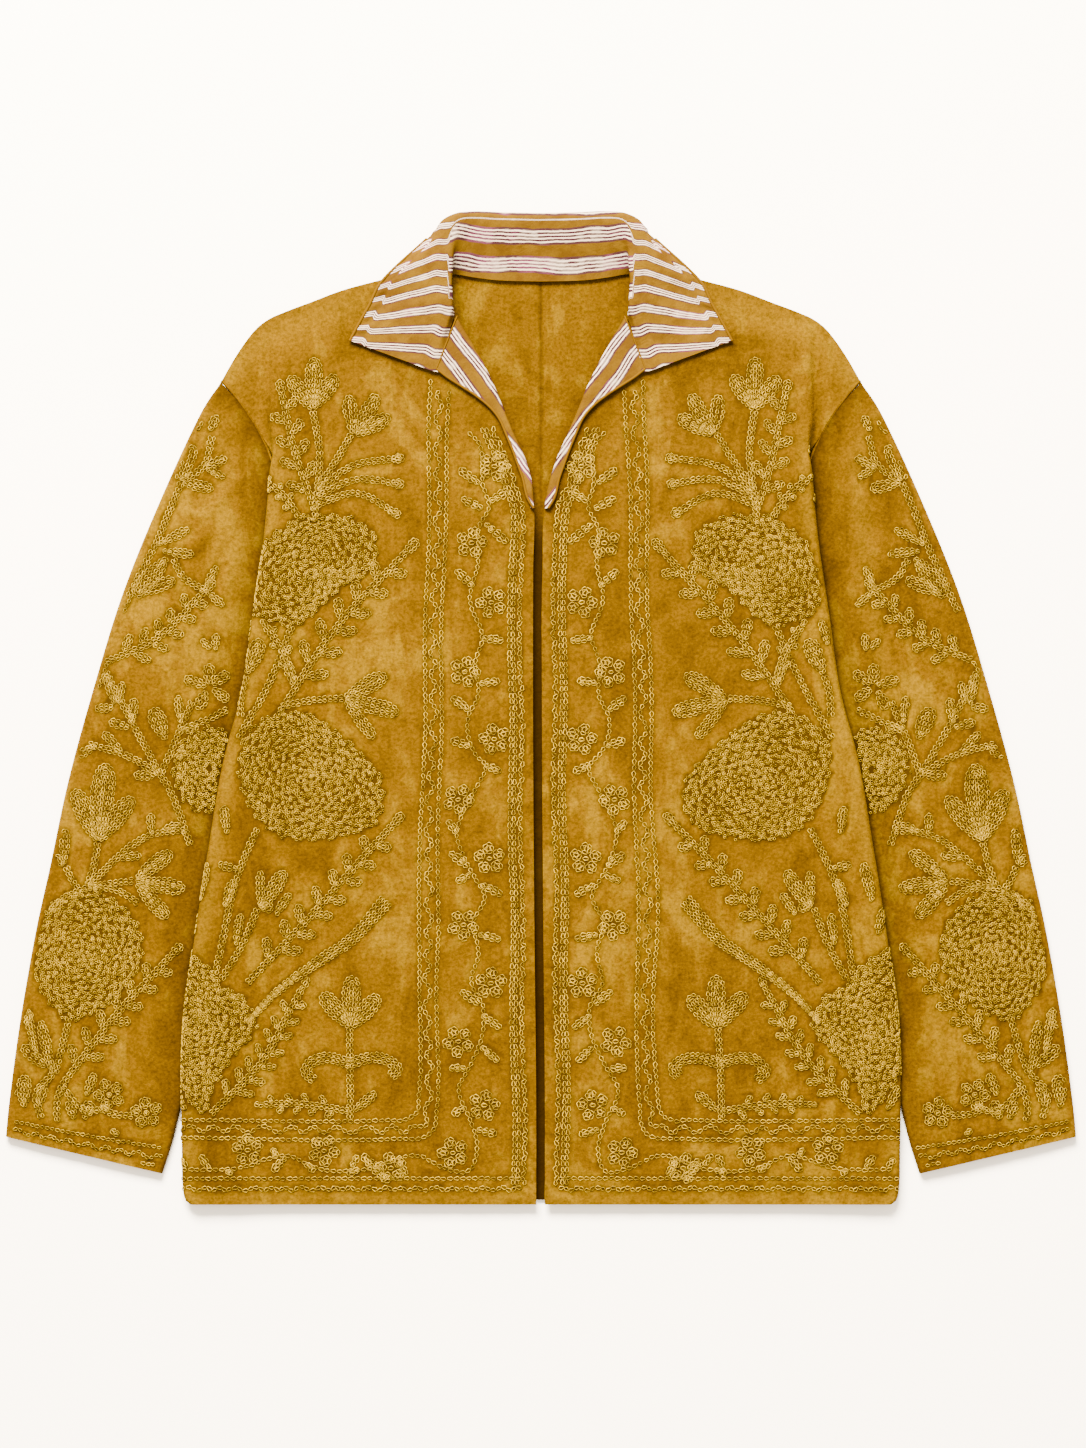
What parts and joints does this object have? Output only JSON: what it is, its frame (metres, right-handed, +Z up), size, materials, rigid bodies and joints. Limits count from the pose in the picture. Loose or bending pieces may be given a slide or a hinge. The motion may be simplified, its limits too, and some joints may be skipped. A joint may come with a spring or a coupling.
{
  "type": "velvet jacket, laid flat",
  "caption": "Open-front velvet jacket lying flat on its back, with dropped sleeves, a turned-down collar and narrow turned-back lapels.",
  "frame": {"origin": "under the middle of the jacket's outline, on the surface that it lies on", "axes": "+Y from the hem to the collar, +X to the wearer's left, +Z up out of the surface"},
  "size_m": [0.7806, 0.7229, 0.0201],
  "materials": {
    "velvet": "crushed cotton velvet, embroidered in chain stitch",
    "striped_cotton": "woven striped cotton"
  },
  "bodies": {
    "root": {"back_left": "velvet", "back_right": "velvet", "front_left": "velvet", "front_right": "velvet", "sleeve_left": "velvet", "sleeve_right": "velvet", "collar": "striped_cotton", "facing_left": "striped_cotton", "facing_right": "striped_cotton"}
  },
  "joints": []
}
